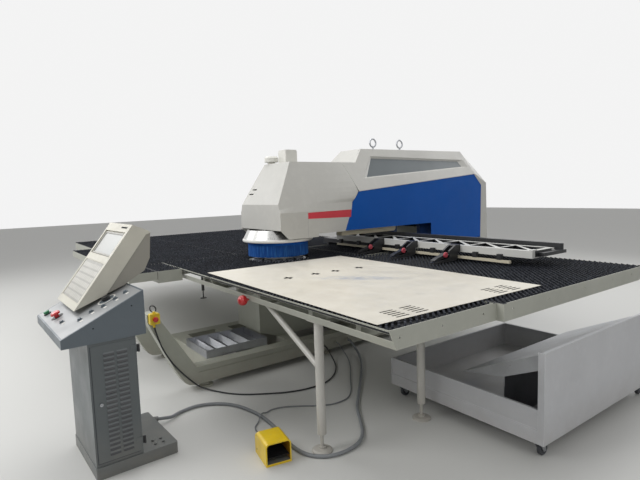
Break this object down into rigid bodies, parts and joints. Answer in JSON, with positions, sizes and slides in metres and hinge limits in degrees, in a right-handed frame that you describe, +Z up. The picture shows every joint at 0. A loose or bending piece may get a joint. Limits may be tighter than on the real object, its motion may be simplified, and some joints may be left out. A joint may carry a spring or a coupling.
{
  "type": "cnc turret punch press",
  "caption": "Sheet-metal turret punch press with brush tables, sliding sheet clamps, operator console, foot pedal and a wheeled parts trolley.",
  "frame": {"origin": "on the floor, on the axis of the tool turrets", "axes": "+X to the right along the sheet clamps, +Y from the operator's side to the back of the press, +Z up"},
  "size_m": [6.889, 5.2636, 2.2079],
  "materials": {
    "cover": "satin light grey enamel",
    "light_cover": "off-white enamel",
    "blue_panel": "deep blue enamel",
    "frame_grey": "warm grey-green machine paint",
    "table_grey": "warm grey enamel",
    "leg_grey": "grey enamel",
    "black_paint": "black paint and blacked steel",
    "brush": "black nylon bristles",
    "blue_brush": "blue nylon bristles",
    "bare_steel": "machined steel",
    "tool_steel": "ground tool steel",
    "motor_black": "dark machine paint",
    "cream": "cream plastic",
    "sheet": "mill-finish sheet with a film",
    "white_paint": "white enamel",
    "console_grey": "blue-grey enamel",
    "beige": "moulded beige plastic",
    "red_plastic": "red plastic",
    "green_plastic": "green plastic",
    "black_plastic": "black plastic",
    "yellow": "signal yellow plastic",
    "trolley_grey": "zinc-grey sheet steel",
    "wheel_rubber": "grey-black rubber",
    "cable_grey": "dark PVC sheath"
  },
  "bodies": {
    "press": {"c_frame": "blue_panel", "base_frame": "frame_grey", "head_cover": "cover", "head_rim": "light_cover", "rear_cover": "cover", "side_panels": "blue_panel", "frame_webs": "frame_grey", "lifting_eyes": "bare_steel", "junction_box": "light_cover", "breather_cap": "light_cover", "brush_skirt": "blue_brush", "hydraulic_cylinder": "motor_black", "turret_motors": "motor_black", "hydraulic_unit": "motor_black", "hose_guard": "cream", "centre_table": "table_grey", "front_right_table": "table_grey", "rear_right_table": "table_grey", "left_table": "table_grey", "brush_tops": "brush", "right_legs": "leg_grey", "left_legs": "black_paint", "work_sheet": "sheet", "scrap_tray": "bare_steel", "y_rails": "bare_steel", "console_cabinet": "console_grey", "console_desk": "console_grey", "pedal_guard": "yellow", "estop_box": "yellow", "trolley_bin": "trolley_grey", "trolley_chute": "bare_steel", "console_conduit": "cable_grey", "pedal_cable": "cable_grey", "stop_cable": "cable_grey"},
    "upper_turret_body": {"upper_turret": "bare_steel", "punches": "tool_steel"},
    "lower_turret_body": {"lower_turret": "bare_steel", "dies": "tool_steel"},
    "ram_body": {"ram": "tool_steel"},
    "saddle": {"y_saddle": "black_paint"},
    "carriage": {"x_carriage": "white_paint", "carriage_bars": "black_paint", "clamp_bodies": "black_paint"},
    "jaw_1": {"clamp_jaw_1": "tool_steel"},
    "jaw_2": {"clamp_jaw_2": "tool_steel"},
    "jaw_3": {"clamp_jaw_3": "tool_steel"},
    "door": {"console_door": "console_grey"},
    "housing": {"control_housing": "beige"},
    "stop_button": {"console_stop": "red_plastic"},
    "start_button_body": {"start_button": "green_plastic"},
    "dial": {"feed_dial": "black_plastic"},
    "pedal": {"foot_pedal": "black_plastic"},
    "estop": {"estop_button": "red_plastic"},
    "knob": {"lock_knob": "red_plastic"},
    "swivel_1": {"swivel_fork_1": "bare_steel"},
    "swivel_2": {"swivel_fork_2": "bare_steel"},
    "wheel_1": {"trolley_wheel_1": "wheel_rubber"},
    "wheel_2": {"trolley_wheel_2": "wheel_rubber"},
    "wheel_3": {"trolley_wheel_3": "wheel_rubber"},
    "wheel_4": {"trolley_wheel_4": "wheel_rubber"}
  },
  "joints": [
    {"name": "upper_turret_turn", "type": "hinge", "parent": "press", "child": "upper_turret_body", "pos_m": [0, 0, 1.2], "axis": [0, 0, 1], "continuous": true},
    {"name": "lower_turret_turn", "type": "hinge", "parent": "press", "child": "lower_turret_body", "pos_m": [0, 0, 0.8], "axis": [0, 0, 1], "continuous": true},
    {"name": "ram_stroke", "type": "slide", "parent": "press", "child": "ram_body", "axis": [0, 0, -1], "range_m": [0, 0.03]},
    {"name": "saddle_slide", "type": "slide", "parent": "press", "child": "saddle", "axis": [0, 1, 0], "range_m": [-0.21, 0.42]},
    {"name": "carriage_slide", "type": "slide", "parent": "saddle", "child": "carriage", "axis": [1, 0, 0], "range_m": [-2.21, 0.29]},
    {"name": "clamp_1_open", "type": "hinge", "parent": "carriage", "child": "jaw_1", "pos_m": [0.49, 0.88, 1.006], "axis": [-1, 0, 0], "range_deg": [0, 14]},
    {"name": "clamp_2_open", "type": "hinge", "parent": "carriage", "child": "jaw_2", "pos_m": [0.965, 0.88, 1.006], "axis": [-1, 0, 0], "range_deg": [0, 14]},
    {"name": "clamp_3_open", "type": "hinge", "parent": "carriage", "child": "jaw_3", "pos_m": [1.475, 0.88, 1.006], "axis": [-1, 0, 0], "range_deg": [0, 14]},
    {"name": "door_hinge", "type": "hinge", "parent": "press", "child": "door", "pos_m": [1.40573, -1.83029, 0.4], "axis": [0, 0, 1], "range_deg": [0, 110]},
    {"name": "housing_tilt", "type": "hinge", "parent": "press", "child": "housing", "pos_m": [0.90111, -1.89294, 1.05], "axis": [0.9994, 0.0349, 0], "range_deg": [0, 6]},
    {"name": "console_stop_push", "type": "slide", "parent": "press", "child": "stop_button", "axis": [-0.0147, 0.4208, -0.907], "range_m": [0, 0.006], "stiffness_N_per_m": 900},
    {"name": "start_push", "type": "slide", "parent": "press", "child": "start_button_body", "axis": [-0.0147, 0.4208, -0.907], "range_m": [0, 0.004], "stiffness_N_per_m": 700},
    {"name": "feed_dial_turn", "type": "hinge", "parent": "press", "child": "dial", "pos_m": [1.19914, -1.94578, 0.99872], "axis": [0.0147, -0.4208, 0.907], "range_deg": [-135, 135]},
    {"name": "pedal_press", "type": "hinge", "parent": "press", "child": "pedal", "pos_m": [1.75329, -1.17864, 0.034], "axis": [0.1908, 0.9816, 0], "range_deg": [0, 7], "stiffness_Nm_per_rad": 60, "springref_deg": -3.44},
    {"name": "estop_push", "type": "slide", "parent": "press", "child": "estop", "axis": [-1, 0, 0], "range_m": [0, 0.006], "stiffness_N_per_m": 900},
    {"name": "lock_knob_turn", "type": "hinge", "parent": "press", "child": "knob", "pos_m": [1.195, -1, 0.842], "axis": [0, -1, 0], "range_deg": [-180, 180]},
    {"name": "fork_1_swivel", "type": "hinge", "parent": "press", "child": "swivel_1", "pos_m": [1.715, 0.04, 0.09], "axis": [0, 0, 1], "continuous": true},
    {"name": "fork_2_swivel", "type": "hinge", "parent": "press", "child": "swivel_2", "pos_m": [2.829, 0.04, 0.09], "axis": [0, 0, 1], "continuous": true},
    {"name": "wheel_1_roll", "type": "hinge", "parent": "swivel_1", "child": "wheel_1", "pos_m": [1.715, 0.068, 0.04], "axis": [1, 0, 0], "continuous": true},
    {"name": "wheel_2_roll", "type": "hinge", "parent": "swivel_2", "child": "wheel_2", "pos_m": [2.829, 0.068, 0.04], "axis": [1, 0, 0], "continuous": true},
    {"name": "wheel_3_roll", "type": "hinge", "parent": "press", "child": "wheel_3", "pos_m": [1.715, 1.42, 0.04], "axis": [1, 0, 0], "continuous": true},
    {"name": "wheel_4_roll", "type": "hinge", "parent": "press", "child": "wheel_4", "pos_m": [2.829, 1.42, 0.04], "axis": [1, 0, 0], "continuous": true}
  ],
  "couplings": [
    {"joint": "upper_turret_turn", "follows": "lower_turret_turn", "ratio": 1}
  ]
}
